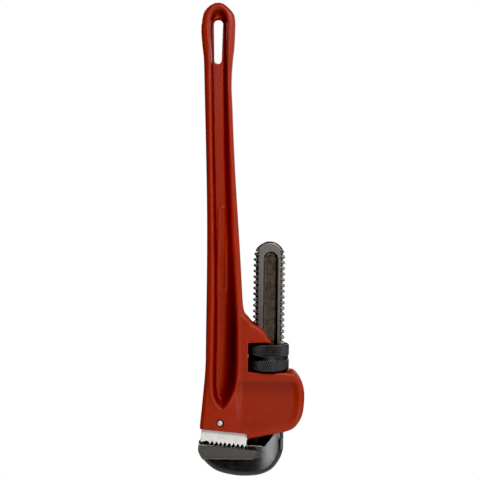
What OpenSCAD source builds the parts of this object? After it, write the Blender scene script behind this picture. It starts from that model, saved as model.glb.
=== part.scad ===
// Straight pipe wrench hanging by its eye: a cast handle and housing, a pinned heel jaw,
// and a hook jaw on a threaded shank that a knurled nut raises and lowers.
// The shapes are drawn with x measured from the shank's axis and z from the nut's middle,
// and place() then puts the origin at the inner top of the hanging slot.

/* [Handle] */
// Height of the handle's end above the nut window
handle_l = 374; // [320:1:460]
// Width across the flanges at the handle's end
flange_end_t = 25; // [21:0.5:30]
// Width across the flanges where they meet the housing
flange_root_t = 30; // [25:0.5:34]
// Thickness of the web between the flanges
web_t = 9; // [7:0.5:11]
// Width of the flange's rim at the handle's end
rim_end_w = 7.4; // [6:0.2:9]
// Width of the flange's rim beside the housing
rim_root_w = 9.6; // [7.5:0.2:11]
// Width of the hanging slot
eye_w = 10.2; // [8:0.2:12]
// Length of the hanging slot
eye_l = 49.5; // [40:0.5:60]
// Metal above the hanging slot
eye_end = 17; // [13:0.5:22]

/* [Housing] */
// Thickness of the housing across its front and back faces
housing_t = 35; // [29:0.5:42]
// Thickness of the outer wall that the flat spring leans on
outer_wall = 6.4; // [4.5:0.1:8]
// Thickness of the lip between the shank's tunnel and the heel jaw
lip_w = 5.2; // [4:0.1:7]
// Depth of the heel jaw's bite below the nut window
bite_drop = 79.8; // [74:0.2:90]
// Distance of the bite's middle from the shank's side
bite_reach = 29.4; // [27:0.2:33]
// Tilt of the bite, lower towards the shank
bite_tilt = 5; // [3:0.5:7]

/* [Shank and nut] */
// Outer diameter of the shank's thread
thread_d = 35.2; // [29.5:0.1:42.4]
// Depth of the thread
thread_depth = 2.6; // [2:0.1:3]
// Rise of the thread in one turn
pitch = 6.35; // [5.2:0.05:7.7]
// Width of the thread's crest
crest_w = 1.3; // [1:0.1:1.8]
// Height of a crest on the shank's outer side, above the nut's middle
crest_z = 2.5; // [0:0.1:6]
// Thickness of the shank across its flats
shank_t = 18; // [15:0.5:21.6]
// Travel of the hook jaw from closed to open
travel = 88; // [70:1:110]
// Shank left above the nut when the jaw is open
shank_spare = 24.75; // [18:0.25:36]
// Width of the grooves in the shank's flats
groove_w = 16.5; // [12:0.5:19]
// Depth of the grooves in the shank's flats
groove_depth = 2.7; // [1.5:0.1:3.5]
// Outer diameter of the nut
nut_d = 46; // [44:0.5:55]
// Height of the nut
nut_h = 29.5; // [25:0.5:36]
// Radial and axial clearance in the thread
thread_gap = 0.4; // [0.3:0.05:0.5]

/* [Jaws] */
// Thickness of both jaws at the teeth
jaw_t = 26; // [22:0.5:31]
// Height of the heel jaw's block
heel_h = 14.3; // [12:0.1:17]
// Length of the heel jaw along its teeth
heel_l = 50.3; // [46:0.1:54]
// Distance between the closed jaws' teeth
bite_gap = 1.6; // [1:0.1:2.5]
// Spacing of the teeth
tooth_pitch = 4.75; // [4:0.05:5.5]
// Height of the teeth
tooth_h = 1.9; // [1.5:0.1:2.3]
// Teeth on each jaw
tooth_count = 9; // [8:1:9]
// Depth of the hook below its teeth
hook_h = 33.8; // [29:0.2:40]
// Thickness of the heel jaw's tang
tang_t = 12; // [10:0.5:14]
// Diameter of the heel jaw's pin
pin_d = 6; // [5:0.1:7.2]

/* [Springs and clearances] */
// Thickness of the flat spring
leaf_t = 1.8; // [1.2:0.1:2.2]
// Width of the flat spring
leaf_w = 13; // [9:0.5:14.5]
// Wire of the coil spring
wire_d = 1.2; // [0.8:0.1:1.5]
// Outer diameter of the coil spring
coil_d = 8.4; // [7:0.1:9.5]
// Angle that the hook jaw rocks through
rock = 2.5; // [1.5:0.1:3]
// Clearance round the shank in the housing
slide_gap = 0.6; // [0.4:0.1:1]
// Room above and below the nut
nut_gap = 1.25; // [1.2:0.05:2]
// Clearance of the pinned and seated pieces
seat_gap = 0.1; // [0.05:0.05:0.2]

/* [Hidden] */
$fn = 64;
far = 200;                                    // longer than any cut has to be
side = thread_d / 2;                          // the shank's side
root_r = side - thread_depth;
tunnel_x = -side - slide_gap;                 // the tunnel's wall on the handle's side
window_z = nut_h / 2 + nut_gap;               // half the height of the nut window
window_x = -max(nut_d / 2 - 0.5, side + 4.9); // the nut window's inner wall
end_z = window_z + handle_l;                  // the handle's end
lean_up = sin(rock) * (window_z + 24);        // the shank's sideways swing in the fork
lean_low = sin(rock) * (window_z + 67);       // and at the foot of the tunnel
bite = [-side - bite_reach, -window_z - bite_drop];
heel_x = tunnel_x - lip_w;                    // the heel jaw's end beside the lip
throat_x = heel_x + 0.7;                      // the hook jaw's throat, beside the heel jaw
seat_h = heel_h + seat_gap;
pin_at = bite_point(-5.5 - sin(bite_tilt) * 23, 23);
tang_h = 33;
shank_top = travel + nut_h / 2 + shank_spare;
plain_z = -window_z - 2;                      // the thread's foot, under the nut window
eye_x = -side - 42.4;                         // middle of the handle's end
eye_top = end_z - eye_end;
leaf_top = -window_z - 12;                    // top of the flat spring
wall_x = side + 22.4 - outer_wall;            // inner face of the outer wall
coil_z = -window_z - 36;                      // height of the coil spring
coil_l = 18;

// A point of the smooth curve between b and c, with a and d as its neighbours
function blend(a, b, c, d, t) =
    ((2 * b) + (c - a) * t + (2 * a - 5 * b + 4 * c - d) * t * t
     + (3 * b - a - 3 * c + d) * t * t * t) / 2;

// A smooth curve through the points p, with n steps between neighbours
function curve(p, n = 3) =
    let (last = len(p) - 1)
    [for (i = [0:last - 1], j = [0:n - 1])
         blend(p[max(i - 1, 0)], p[i], p[i + 1], p[min(i + 2, last)], j / n),
     p[last]];

function reverse(p) = [for (i = [len(p) - 1:-1:0]) p[i]];

// A place given along the bite (u) and up from it (v)
function bite_point(u, v) =
    bite + [u * cos(bite_tilt) + v * sin(bite_tilt), v * cos(bite_tilt) - u * sin(bite_tilt)];

// How far along the bite the upright line at x is met, at the height v
function bite_u(x, v) = (x - bite[0] - v * sin(bite_tilt)) / cos(bite_tilt);

// Points of the handle's stretch: a share of its height, and a distance from the shank's side
function stretch(p) = [for (q = p) [-side - q[1], window_z + q[0] * (handle_l - 76)]];

// Points of the handle's end: a distance from the shank's side, and a drop from the end
function ending(p) = [for (q = p) [-side - q[0], end_z - q[1]]];

// The handle's two edges, from the eye down
function outer_edge() = concat(
    ending([[42.4, 0], [48.4, 1.1], [55.4, 6.4], [59.4, 13.4], [61.2, 28.4], [59.9, 46], [57.9, 62]]),
    stretch([[0.98, 57.1], [0.93, 56.6], [0.73, 54.4], [0.512, 52.4], [0.3, 51.5], [0, 51.4]]));
function inner_edge() = concat(
    ending([[42.4, 0], [36.4, 1.4], [30.4, 6.4], [25.4, 13], [23.9, 30], [24.5, 46], [26.3, 64]]),
    stretch([[0.96, 26.9], [0.86, 25.4], [0.73, 23.4], [0.6, 21], [0.46, 17.9],
             [0.34, 15.3], [0.195, 12.4], [0.137, 11.1], [0.108, 9.2], [0.089, 4.4]]));

// The cheeks' edge over the shank, and the housing's edge from the window round to the lip
function cheek_edge() =
    curve([[-side - 0.6, window_z + 21.7], [-side + 9.6, window_z + 16], [side - 18.6, window_z + 6.5],
           [side - 15.1, window_z + 1.5]]);
function bulge_edge() =
    [for (q = curve([[4, -1], [8.4, -1.2], [12.4, 0.5], [16.4, 5], [19.4, 10], [21.8, 19], [22.4, 28],
                     [21.4, 41], [19.4, 49], [16.4, 55], [12.4, 60], [7.4, 63.4], [0.4, 65.7]]))
         [side + q[0], -window_z - q[1]]];

module place() translate([-eye_x, 0, -eye_top]) children();

// A plate of thickness t, standing on edge, of the outline drawn in x and z
module plate(t) rotate([90, 0, 0]) linear_extrude(t, center = true) children();

// A hole of radius r through the plate at p
module cross_hole(p, r, t = far)
    translate([p[0], 0, p[1]]) rotate([90, 0, 0]) cylinder(h = t, r = r, center = true);

module casting_outline()
    polygon(concat(
        curve(reverse(outer_edge())),
        curve(inner_edge()),
        cheek_edge(),
        [[side - 15.1, window_z], [window_x, window_z], [window_x, -window_z]],
        bulge_edge(),
        [[-side - slide_gap - 4, -window_z - 73.7], [heel_x + seat_gap * 3, -window_z - 72],
         bite_point(bite_u(heel_x + seat_gap * 3, seat_h), seat_h),
         bite_point(-heel_l + 24.5, seat_h), bite_point(-heel_l + 23.4, seat_h + 1.2)],
        curve([[-side - 55.6, -window_z - 57], [-side - 53, -window_z - 26], [-side - 51.4, -window_z + 4]])));

// The casting's thickness from the eye down to the housing
module casting_sides()
    let (half = curve([[flange_end_t / 2, end_z + 1], [flange_end_t / 2 + 0.8, end_z - 120],
                       [flange_root_t / 2 - 0.6, window_z + 95], [flange_root_t / 2 + 0.3, window_z + 50],
                       [housing_t / 2, window_z + 16], [housing_t / 2, -far]]))
    rotate([90, 0, 90]) linear_extrude(far * 2, center = true)
        polygon(concat(half, reverse([for (q = half) [-q[0], q[1]]])));

// The hollow between the flanges, which runs out in a point beside the housing
module flange_hollow()
    let (left = concat(ending([[57 - rim_end_w, 20], [60.2 - rim_end_w, 34], [57.9 - rim_end_w, 62]]),
                       stretch([[0.93, 56.6 - rim_end_w], [0.73, 54.4 - rim_end_w],
                                [0.3, 51.5 - rim_root_w + 1], [0, 51.4 - rim_root_w + 2]])),
         right = concat(ending([[27.5 + rim_end_w, 20], [24.6 + rim_end_w, 34], [26.3 + rim_end_w, 64]]),
                        stretch([[0.93, 26.6 + rim_end_w], [0.73, 23.4 + rim_end_w],
                                 [0.46, 17.9 + rim_root_w], [0.137, 12.1 + rim_root_w], [0, 18.4]])),
         foot = curve([[-side - 18.4, -window_z - 10], [-side - 20.4, -window_z - 22],
                       [-side - 23.4, -window_z - 33], [-side - 31.4, -window_z - 42],
                       [-side - 39.4, -window_z - 38], [-side - 43, -window_z - 24],
                       [-side - 43.8, -window_z - 8]]))
    for (face = [-1, 1])
        translate([0, face * (web_t + far) / 2, 0])
            plate(far) polygon(concat(curve(reverse(left), 2), curve([left[0], [eye_x, end_z - 9], right[0]], 4),
                                      curve(right, 2), foot));

// The hanging slot, a little narrower at its foot
module eye_slot() {
    foot_r = eye_w / 2 - 1;
    foot_z = eye_top - eye_l + foot_r;
    head_z = eye_top - eye_w / 2;
    cross_hole([eye_x, head_z], eye_w / 2);
    cross_hole([eye_x, foot_z], foot_r);
    plate(far) polygon([[eye_x - eye_w / 2, head_z], [eye_x - foot_r, foot_z],
                        [eye_x + foot_r, foot_z], [eye_x + eye_w / 2, head_z]]);
}

// The shank's way through the casting: a fork above the nut and a tunnel below it
module shank_way() {
    shut = side + slide_gap + sin(rock) * (window_z + 6);
    plate(shank_t + slide_gap * 2) {
        polygon([[-side - slide_gap - lean_up, window_z - 1], [side + far, window_z - 1],
                 [side + far, end_z], [-side - slide_gap - lean_up, end_z]]);
        polygon([[tunnel_x, -window_z + 2], [shut, -window_z + 2], [shut, leaf_top + 6],
                 [wall_x, leaf_top + 5], [wall_x, -window_z - 38],
                 [side + slide_gap + lean_low, -window_z - 61],
                 [side + slide_gap + lean_low, -window_z - 90], [tunnel_x, -window_z - 90]]);
    }
}

module handle_housing()
    color("firebrick")
    difference() {
        intersection() {
            plate(housing_t) casting_outline();
            casting_sides();
        }
        flange_hollow();
        eye_slot();
        shank_way();
        cylinder(h = window_z * 2, r = nut_d / 2 + 1.2, center = true);
        translate([tunnel_x - coil_l, 0, coil_z]) rotate([0, 90, 0])
            cylinder(h = coil_l + 1, r = coil_d / 2 + 0.4);
        plate(tang_t + seat_gap * 4) heel_tang_outline(seat_gap * 3);
        cross_hole(pin_at, pin_d / 2 + seat_gap);
        for (face = [-1, 1])
            translate([0, face * (housing_t - 3) / 2, 0]) cross_hole(pin_at, pin_d / 2 + 1, 3.1);
        translate([wall_x - 1, 0, leaf_top - 5]) rotate([0, 90, 0]) cylinder(h = far, r = 2 + seat_gap);
    }

// The heel jaw's tang, or with a margin the slot that it seats in
module heel_tang_outline(margin = 0)
    polygon([bite_point(-19 - margin, heel_h - 1), bite_point(-19 - margin, tang_h - 4 + margin),
             bite_point(-15 - margin, tang_h + margin), bite_point(5 + margin, tang_h + margin),
             bite_point(9 + margin, tang_h - 4 + margin), bite_point(9 + margin, heel_h - 1)]);

// A row of teeth along the bite, pointing down to v = 0 or up to v = level
function tooth_row(level, up) =
    [for (i = [0:tooth_count * 2])
         let (u = -19 + i * tooth_pitch / 2, lean = i % 2 == 1 ? (up ? -0.7 : 0.7) : 0)
         bite_point(u + lean, level + (up ? -1 : 1) * (i % 2 == 1 ? tooth_h : 0))];

module heel_jaw()
    color("silver")
    difference() {
        union() {
            plate(jaw_t) polygon(concat(
                [bite_point(23.5 - heel_l, 0.6), bite_point(24.3 - heel_l, 0)],
                tooth_row(0, false),
                [[heel_x, bite_point(23.5, 0)[1] + 1], bite_point(bite_u(heel_x, heel_h - 1), heel_h - 1),
                 bite_point(bite_u(heel_x - 1, heel_h), heel_h),
                 bite_point(24.5 - heel_l, heel_h), bite_point(23.5 - heel_l, heel_h - 1)]));
            plate(tang_t) heel_tang_outline();
        }
        cross_hole(pin_at, pin_d / 2 + seat_gap);
    }

module heel_jaw_pin()
    color("lightgray")
    translate([pin_at[0], 0, pin_at[1]]) rotate([90, 0, 0])
        rotate_extrude()
            polygon([[0, -housing_t / 2 + 0.6], [pin_d / 3, -housing_t / 2 + 0.9], [pin_d / 2, -housing_t / 2 + 2.2],
                     [pin_d / 2, housing_t / 2 - 2.2], [pin_d / 3, housing_t / 2 - 0.9], [0, housing_t / 2 - 0.6]]);

// One ring of the shank's thread: the radius r on both sides, cut by the flats, winding upwards
function thread_ring(r, z) =
    let (edge = asin(shank_t / 2 / r), n = 8)
    [for (turn = [0, 180], i = [0:n])
         let (a = turn - edge + i * edge * 2 / n) [r * cos(a), r * sin(a), z + pitch * a / 360]];

// The threaded stretch of the shank between two heights
module thread(low, high) {
    flank = (pitch - crest_w * 2) / 2;
    steps = [[-crest_w / 2, side], [crest_w / 2, side], [crest_w / 2 + flank, root_r],
             [crest_w * 1.5 + flank, root_r]];
    rings = [for (k = [floor((low - crest_z) / pitch):ceil((high - crest_z) / pitch)], s = steps)
                 thread_ring(s[1], crest_z + k * pitch + s[0])];
    n = len(rings[0]);
    m = len(rings) - 1;
    middle = pitch / 4;
    polyhedron(
        points = concat([for (ring = rings, p = ring) p],
                        [[0, 0, rings[0][0][2] + middle], [0, 0, rings[m][0][2] + middle]]),
        faces = [for (i = [0:n - 1])
                     let (j = (i + 1) % n)
                     each [[i, j, n * (m + 1)], [m * n + j, m * n + i, n * (m + 1) + 1],
                           for (k = [0:m - 1])
                               each [[k * n + j, k * n + i, (k + 1) * n + j],
                                     [(k + 1) * n + j, k * n + i, (k + 1) * n + i]]]]);
}

module hook_outline() {
    top = bite_gap;
    polygon(concat(
        [bite_point(24.4, -top - 3)],
        reverse(tooth_row(-top - tooth_h, true)),
        [bite_point(-27, -top)],
        curve([bite_point(-28.8, -top - 2), bite + [-29.2, -7], bite + [-28, -11], bite + [-23, -18.7],
               bite + [-13, -hook_h + 6.3], bite + [-3, -hook_h + 1.8], bite + [12, -hook_h - 1.2],
               bite + [26, -hook_h - 1.6], bite + [40, -hook_h + 0.2],
               [side - 12.6, bite[1] - hook_h + 5.6], [side - 4.6, bite[1] - 18.7],
               [side - 0.6, bite[1] - 8.7], [side, bite[1] + 4]]),
        [[side, -window_z - 67.2], [throat_x, -window_z - 74.6]],
        curve([[throat_x, bite_point(24, -top)[1] + 3], [throat_x - 0.3, bite_point(24, -top)[1] + 0.8],
               bite_point(24.4, -top - 1)])));
}

module hook_jaw()
    color([0.13, 0.12, 0.11])
    difference() {
        union() {
            difference() {
                plate(jaw_t) hook_outline();
                // the flats milled beside the teeth, with a round end under the throat
                for (face = [-1, 1]) translate([0, face * (jaw_t + far) / 2 - face, 0]) {
                    cross_hole(bite + [bite_reach, -8.2], 7.5, far);
                    plate(far) polygon([bite + [-40, -15.7], bite + [bite_reach, -15.7],
                                        bite + [bite_reach, -0.7], bite_point(24, 2), bite_point(-40, 2)]);
                }
            }
            plate(shank_t) polygon([[-side, plain_z], [-side, bite[1] - 6], [side, bite[1] - 6], [side, plain_z]]);
            intersection() {
                thread(plain_z - pitch, shank_top + pitch);
                translate([0, 0, plain_z - 0.5]) plate(far)
                    polygon(concat([[-side - 1, 0], [side + 1, 0]],
                        [for (a = [10:20:170]) [(side + 1) * cos(a), shank_top - plain_z - 9 + 9.5 * sin(a)]]));
            }
        }
        // the grooves down the shank's front and back
        for (face = [-1, 1]) translate([0, face * (shank_t / 2 + far / 2 - groove_depth), 0]) {
            cross_hole([1.2, shank_top - 10.5 - groove_w / 2], groove_w / 2, far);
            cross_hole([1.2, plain_z - 26], groove_w / 2, far);
            plate(far) polygon([[1.2 - groove_w / 2, plain_z - 26], [1.2 + groove_w / 2, plain_z - 26],
                                [1.2 + groove_w / 2, shank_top - 10.5 - groove_w / 2],
                                [1.2 - groove_w / 2, shank_top - 10.5 - groove_w / 2]]);
        }
    }

// The room that the shank's thread winds through, opened by the thread's clearance
module thread_room() {
    n = 24;
    flank = (pitch - crest_w * 2) / 2;
    out_r = side + thread_gap;
    in_r = root_r - 0.2;
    out_h = crest_w / 2 + thread_gap - flank * thread_gap / thread_depth;
    in_h = crest_w / 2 + thread_gap + flank * (side - in_r) / thread_depth;
    profile = [[in_r, -in_h], [out_r, -out_h], [out_r, out_h], [in_r, in_h]];
    first = floor((-nut_h / 2 - pitch - crest_z) / pitch * n);
    last = ceil((nut_h / 2 + pitch - crest_z) / pitch * n);
    count = last - first;
    polyhedron(
        points = [for (i = [first:last], q = profile)
                      [q[0] * cos(i * 360 / n), q[0] * sin(i * 360 / n), crest_z + pitch * i / n + q[1]]],
        faces = concat(
            [[3, 2, 1, 0]],
            [for (i = [0:count - 1], j = [0:3])
                 let (a = i * 4 + j, b = i * 4 + (j + 1) % 4)
                 each [[a, b, b + 4], [a, b + 4, a + 4]]],
            [[for (j = [0:3]) count * 4 + j]]));
}

module adjusting_nut()
    color([0.1, 0.1, 0.1])
    difference() {
        rotate_extrude() {
            half = nut_h / 2;
            r = nut_d / 2;
            polygon([[root_r + thread_gap, -half], [r - 2.4, -half], [r - 0.4, -half + 2.2], [r, -half + 3],
                     [r, -3.6], [r - 0.8, -3], [r - 0.8, 1], [r, 1.6], [r, half - 3], [r - 0.4, half - 2.2],
                     [r - 2.4, half], [root_r + thread_gap, half]]);
        }
        thread_room();
    }

// A strip of thickness t to the right of a path drawn downwards
function ribbon(p, t) =
    let (last = len(p) - 1)
    concat(p, reverse([for (i = [0:last])
        let (d = p[min(i + 1, last)] - p[max(i - 1, 0)], k = t / norm(d)) p[i] + [d[1] * k, -d[0] * k]]));

module flat_spring()
    color("dimgray")
    difference() {
        plate(leaf_w) polygon(ribbon(concat([[wall_x - seat_gap, leaf_top]], curve([
            [wall_x - seat_gap, leaf_top - 12], [wall_x - 4, leaf_top - 24],
            [side + leaf_t + 1.4, leaf_top - 33], [side + leaf_t + 0.4, leaf_top - 39],
            [side + leaf_t + 2.4, leaf_top - 45]], 4)), leaf_t));
        translate([side, 0, leaf_top - 5]) rotate([0, 90, 0]) cylinder(h = far, r = 2 + seat_gap);
    }

module spring_rivet()
    color("gray")
    translate([wall_x - leaf_t - seat_gap * 2, 0, leaf_top - 5]) rotate([0, 90, 0])
        rotate_extrude()
            polygon([[0, -1.6], [1.8, -1.4], [3.2, -0.6], [3.6, 0], [2, 0], [2, outer_wall + leaf_t - 1.6],
                     [0, outer_wall + leaf_t - 1.6]]);

module coil_spring()
    color("dimgray")
    translate([tunnel_x - coil_l + wire_d / 2 + seat_gap, 0, coil_z]) {
        turns = 6;
        n = 16;
        ring_n = 6;
        mean_r = (coil_d - wire_d) / 2;
        length = coil_l + slide_gap - wire_d - seat_gap * 4;
        points = [for (i = [0:turns * n], j = [0:ring_n - 1])
                      let (a = i * 360 / n, b = j * 360 / ring_n, r = mean_r + wire_d / 2 * cos(b))
                      [length * i / turns / n + wire_d / 2 * sin(b), r * cos(a), r * sin(a)]];
        polyhedron(points = points, faces = concat(
            [[for (j = [0:ring_n - 1]) j]],
            [for (i = [0:turns * n - 1], j = [0:ring_n - 1])
                 let (a = i * ring_n + j, b = i * ring_n + (j + 1) % ring_n)
                 each [[a, a + ring_n, b + ring_n], [a, b + ring_n, b]]],
            [[for (j = [ring_n - 1:-1:0]) turns * n * ring_n + j]]));
    }

place() handle_housing();
place() heel_jaw();
place() heel_jaw_pin();
place() hook_jaw();
place() adjusting_nut();
place() flat_spring();
place() coil_spring();
place() spring_rivet();
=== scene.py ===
import math
import bpy
import numpy as np
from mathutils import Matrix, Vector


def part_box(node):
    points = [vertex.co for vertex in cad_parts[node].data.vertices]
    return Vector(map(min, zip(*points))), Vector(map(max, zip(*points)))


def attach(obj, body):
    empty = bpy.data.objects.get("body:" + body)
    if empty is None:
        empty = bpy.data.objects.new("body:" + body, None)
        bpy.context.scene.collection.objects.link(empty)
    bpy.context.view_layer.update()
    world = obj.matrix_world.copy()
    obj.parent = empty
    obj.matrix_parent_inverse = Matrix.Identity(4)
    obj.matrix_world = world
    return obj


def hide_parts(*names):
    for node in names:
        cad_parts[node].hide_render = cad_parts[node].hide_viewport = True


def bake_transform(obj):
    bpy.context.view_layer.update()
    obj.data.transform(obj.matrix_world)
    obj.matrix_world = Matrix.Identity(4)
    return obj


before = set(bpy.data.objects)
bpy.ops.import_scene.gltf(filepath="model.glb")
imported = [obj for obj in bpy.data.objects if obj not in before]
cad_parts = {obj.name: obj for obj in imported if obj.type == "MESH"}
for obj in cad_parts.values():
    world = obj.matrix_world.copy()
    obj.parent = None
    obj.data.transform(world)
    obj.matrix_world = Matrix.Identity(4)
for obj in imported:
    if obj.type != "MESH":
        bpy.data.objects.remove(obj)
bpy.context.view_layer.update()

# Shapes are worked out in millimetres, with x measured from the shank's axis and z from the
# nut's middle, because everything on the wrench is set out from there.
mm = 1000                                             # in a metre
nutLow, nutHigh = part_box("adjusting_nut")
centre = np.array([(nutLow.x + nutHigh.x) / 2, 0.0, (nutLow.z + nutHigh.z) / 2])


# Low and high corner of a node's box, in millimetres from the nut's centre
def nodeBox(node):
    return [(np.array(corner) - centre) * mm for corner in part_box(node)]


wrench = {"nutGap": 1.25, "handleMiddle": 42.4}       # the handle's end is that far left of the shank
side, _, shankTop = nodeBox("hook_jaw")[1]            # half the shank's width over its threads, and its top
nutHalf = (nutHigh.z - nutLow.z) / 2 * mm
windowHalf = nutHalf + wrench["nutGap"]
endZ = nodeBox("handle_housing")[1][2]                # the handle's end
beamX = -side - wrench["handleMiddle"]
pinAt = (sum(nodeBox("heel_jaw_pin")) / 2)[[0, 2]]
coilBox = nodeBox("coil_spring")
coilAt = (sum(coilBox) / 2)[2]                        # height of the coil spring's axis


# Catmull-Rom curve through the points, with the given steps between neighbours
def smoothCurve(points, steps=4):
    p = np.array(points, float)
    q = np.vstack([p[:1], p, p[-1:]])
    t = (np.arange(steps) / steps)[None, :, None]
    a, b, c, d = (q[i:len(q) - 3 + i, None, :] for i in range(4))
    bend = 2 * b + (c - a) * t + (2 * a - 5 * b + 4 * c - d) * t**2 + (3 * b - a - 3 * c + d) * t**3
    return np.vstack([(bend / 2).reshape(-1, p.shape[1]), p[-1:]])


# S-shaped step: 0 below 0, 1 above 1, 3t^2 - 2t^3 between
def ease(t):
    t = np.clip(t, 0, 1)
    return t * t * (3 - 2 * t)


# The larger of two distances, with the edge between them rounded to the radius r
def roundMax(a, b, r):
    inner = np.minimum(np.maximum(a, b), -r)
    return inner + np.hypot(np.maximum(a + r, 0), np.maximum(b + r, 0))


# Distance from points to a closed outline, negative inside: the nearest point of every edge
# gives the size, and the number of edges crossed by a ray to the right gives the sign
def outlineDistance(outline, x, z):
    batch, tiny = 20000, 1e-12
    ends = np.roll(outline, -1, axis=0)
    run = ends - outline
    length = np.maximum((run**2).sum(1), tiny)
    rise = np.where(run[:, 1] == 0, tiny, run[:, 1])
    flat = np.column_stack([x.ravel(), z.ravel()])
    result = np.empty(len(flat))
    for first in range(0, len(flat), batch):
        p = flat[first:first + batch, None, :]
        away = p - outline
        share = np.clip((away * run).sum(2) / length, 0, 1)
        near = np.sqrt(((away - share[..., None] * run)**2).sum(2).min(1))
        above = (outline[:, 1] > p[..., 1]) != (ends[:, 1] > p[..., 1])
        crossX = outline[:, 0] + run[:, 0] * (p[..., 1] - outline[:, 1]) / rise
        inside = (above & (p[..., 0] < crossX)).sum(1) % 2 == 1
        result[first:first + batch] = np.where(inside, -near, near)
    return result.reshape(x.shape)


# An outline's distance, worked out once on a fine lattice and read between its points as the
# mean of the four round a place, weighted by how near each is
class Plan:
    def __init__(self, outline, xRange, zRange, step=0.6):
        self.low = np.array([xRange[0], zRange[0]])
        self.step = step
        xs = np.arange(xRange[0], xRange[1] + step, step)
        zs = np.arange(zRange[0], zRange[1] + step, step)
        self.values = outlineDistance(np.array(outline), *np.meshgrid(xs, zs, indexing="ij"))

    def __call__(self, x, z):
        x, z = np.broadcast_arrays(x, z)
        u = np.clip((x - self.low[0]) / self.step, 0, self.values.shape[0] - 1.001)
        v = np.clip((z - self.low[1]) / self.step, 0, self.values.shape[1] - 1.001)
        i, j = u.astype(int), v.astype(int)
        u, v = u - i, v - j
        g = self.values
        return ((g[i, j] * (1 - u) + g[i + 1, j] * u) * (1 - v)
                + (g[i, j + 1] * (1 - u) + g[i + 1, j + 1] * u) * v)


# Skin of a solid given by a distance function: one point in each lattice cell that the surface
# crosses, at the mean of its edge crossings, moved half way to its neighbours' mean, then
# pulled onto the surface along the slope
def skin(shape, xs, ys, zs):
    rounds, reach, longestPull, leastSlope = 4, 0.05, 0.4, 0.05
    axes = [np.asarray(a, float) for a in (xs, ys, zs)]
    unit = np.eye(3, dtype=int)
    value = shape(axes[0][:, None, None], axes[1][None, :, None], axes[2][None, None, :])
    size = np.array(value.shape)
    inside = value < 0
    corners = np.array([[i, j, k] for i in (0, 1) for j in (0, 1) for k in (0, 1)])
    filled = sum(inside[tuple(slice(c[n], size[n] - 1 + c[n]) for n in range(3))].astype(int)
                 for c in corners)
    mixed = (filled > 0) & (filled < len(corners))
    cells = np.argwhere(mixed)
    number = np.full(mixed.shape, -1)
    number[mixed] = np.arange(len(cells))

    def place(at):  # of lattice points, in millimetres
        return np.column_stack([axes[n][at[:, n]] for n in range(3)])

    total, count = np.zeros((len(cells), 3)), np.zeros((len(cells), 1))
    for c in corners:
        for n in range(3):
            if c[n]:
                continue
            a, b = cells + c, cells + c + unit[n]
            va, vb = value[tuple(a.T)], value[tuple(b.T)]
            crosses = (va < 0) != (vb < 0)
            share = np.where(crosses, va / np.where(crosses, va - vb, 1), 0)[:, None]
            total += crosses[:, None] * (place(a) + share * (place(b) - place(a)))
            count += crosses[:, None]
    points = total / count

    faces = []
    for n in range(3):
        u, w, step = unit[(n + 1) % 3], unit[(n + 2) % 3], unit[n]
        low = tuple(slice(0, size[m] - step[m]) for m in range(3))
        high = tuple(slice(step[m], size[m]) for m in range(3))
        at = np.argwhere(inside[low] != inside[high])
        at = at[(at[:, (n + 1) % 3] > 0) & (at[:, (n + 2) % 3] > 0)]
        ring = np.stack([number[tuple((at - s).T)] for s in (u + w, w, 0 * u, u)], 1)
        outward = inside[tuple(at.T)][:, None]
        faces.append(np.where(outward, ring, ring[:, ::-1]))
    faces = np.vstack(faces)

    links = np.vstack([faces[:, [i, (i + 1) % 4]] for i in range(4)])
    around, many = np.zeros_like(points), np.bincount(links[:, 0], minlength=len(points))[:, None]
    for n in range(3):
        around[:, n] = np.bincount(links[:, 0], points[links[:, 1], n], len(points))
    points = (points + around / np.maximum(many, 1)) / 2

    for _ in range(rounds):
        here = shape(*points.T)
        slope = np.column_stack([(shape(*(points + reach * e).T) - shape(*(points - reach * e).T))
                                 / (2 * reach) for e in unit])
        pull = -(here / np.maximum((slope**2).sum(1), leastSlope))[:, None] * slope
        far = np.linalg.norm(pull, axis=1, keepdims=True)
        points = points + pull * np.minimum(1, longestPull / np.maximum(far, 1e-9))
    return points, faces


# How sharply the surface turns at its points: the mean distance a little way off in six
# directions, scaled so that a flat is 0, an outer edge near 1 and an inner corner near -1
def edgeSharpness(shape, points, reach):
    near = sum(shape(*(points + s * reach * e).T) for e in np.eye(3) for s in (-1, 1)) / 6
    return (near - shape(*points.T)) / reach * 6


# A number for each point, which a material reads by its name
def addAttribute(mesh, name, values):
    mesh.attributes.new(name, "FLOAT", "POINT").data.foreach_set("value", values.astype(np.float32))


# An object at the origin, with smooth faces that break at edges sharper than an angle
def finishPiece(mesh, sharp, edge):
    mesh.polygons.foreach_set("use_smooth", np.ones(len(mesh.polygons), bool))
    mesh.set_sharp_from_angle(angle=math.radians(sharp))
    addAttribute(mesh, "edgeTurn", edge)
    piece = bpy.data.objects.new(mesh.name, mesh)
    bpy.context.scene.collection.objects.link(piece)
    return piece


# A piece from points in millimetres and an array of quads
def makePiece(name, points, faces, sharp, edge):
    mesh = bpy.data.meshes.new(name)
    mesh.vertices.add(len(points))
    mesh.vertices.foreach_set("co", (points / mm + centre).astype(np.float32).ravel())
    mesh.loops.add(faces.size)
    mesh.loops.foreach_set("vertex_index", faces.astype(np.int32).ravel())
    mesh.polygons.add(len(faces))
    mesh.polygons.foreach_set("loop_start", np.arange(0, faces.size, faces.shape[1], dtype=np.int32))
    mesh.update(calc_edges=True)
    return finishPiece(mesh, sharp, edge)


# A small piece from points in millimetres and lists of faces with any number of corners
def smallPiece(name, points, faces, sharp):
    mesh = bpy.data.meshes.new(name)
    mesh.from_pydata((points / mm + centre).tolist(), [], faces)
    return finishPiece(mesh, sharp, np.zeros(len(points)))


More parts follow.
